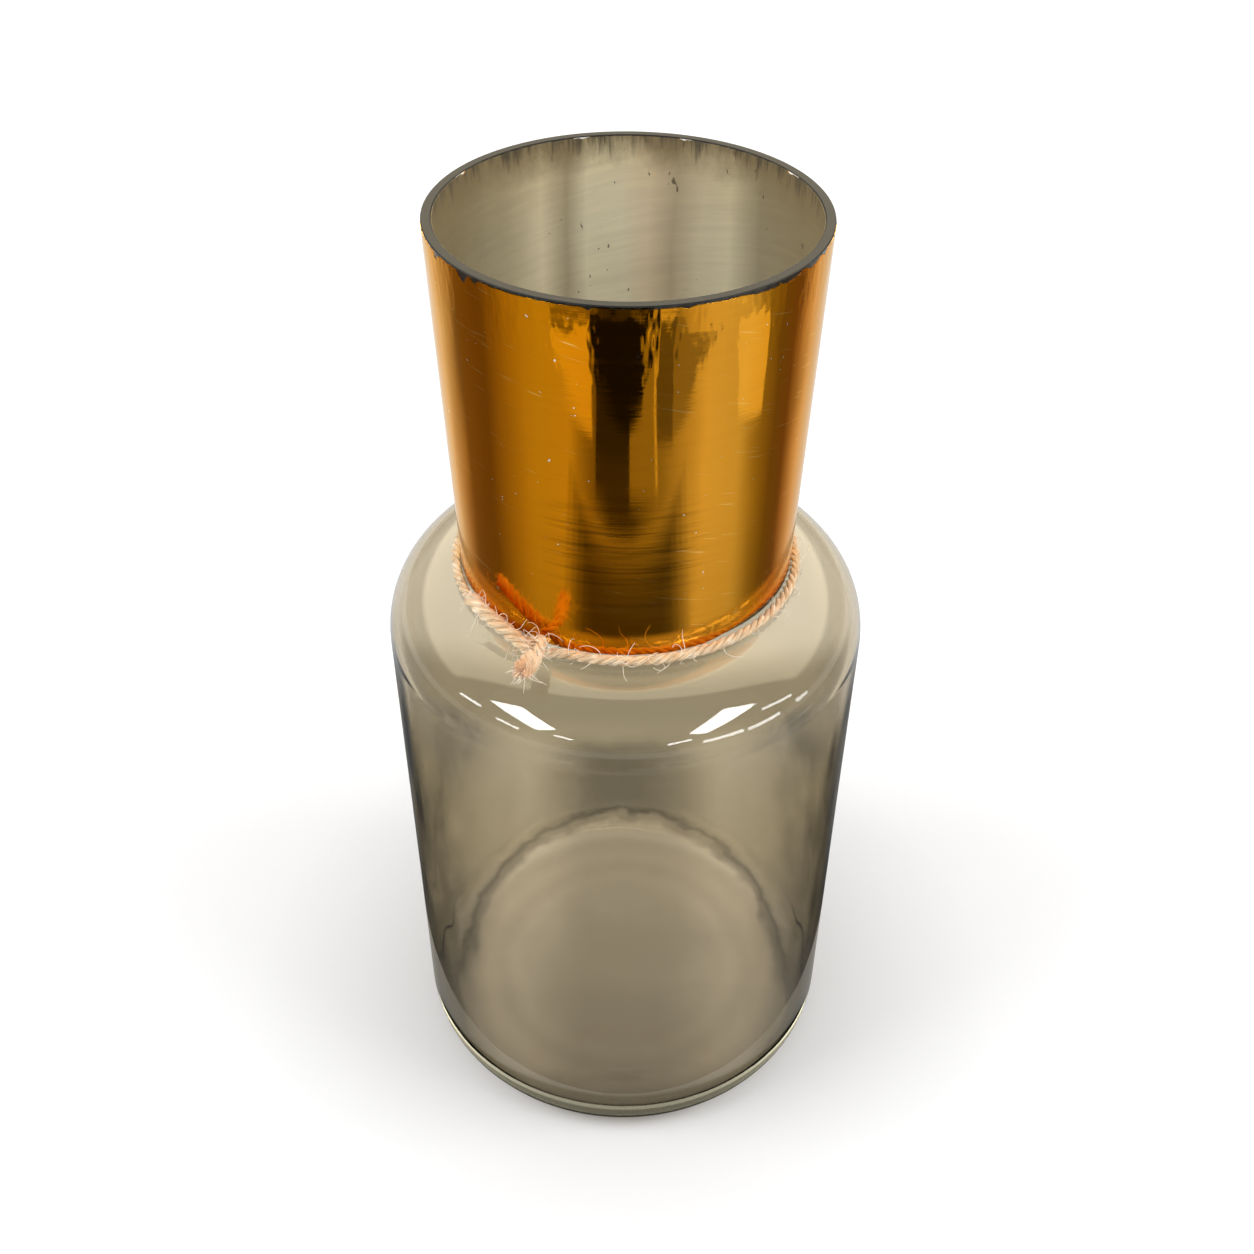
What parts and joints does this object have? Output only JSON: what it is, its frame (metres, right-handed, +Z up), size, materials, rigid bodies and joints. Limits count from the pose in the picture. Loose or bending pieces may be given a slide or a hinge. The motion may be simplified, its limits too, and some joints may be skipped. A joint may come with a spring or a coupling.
{
  "type": "glass vase",
  "caption": "Smoked glass bottle vase with a straight round-shouldered body, a wide mirrored amber neck and a jute cord tied round its root.",
  "frame": {"origin": "centre of the foot, on the surface that the vase stands on", "axes": "+Z up along the axis of the vase, -Y towards the front, where the cord is tied a little to the left"},
  "size_m": [0.1416, 0.1416, 0.3],
  "materials": {
    "smoked_glass": "clear smoke-grey blown glass, gently wavy",
    "silver_mirror": "satin silver film on the inside of the neck, streaked brown near its edge",
    "amber_lacquer": "amber lacquer with a mirror gloss on the outside of the neck, with fine scratches",
    "jute": "laid jute cord, dry and hairy"
  },
  "bodies": {
    "root": {"glass_vessel": "smoked_glass", "mirror_film": "silver_mirror", "amber_lacquer": "amber_lacquer", "cord_loop": "jute", "cord_knot": "jute", "cord_end_left": "jute", "cord_end_front": "jute"}
  },
  "joints": []
}
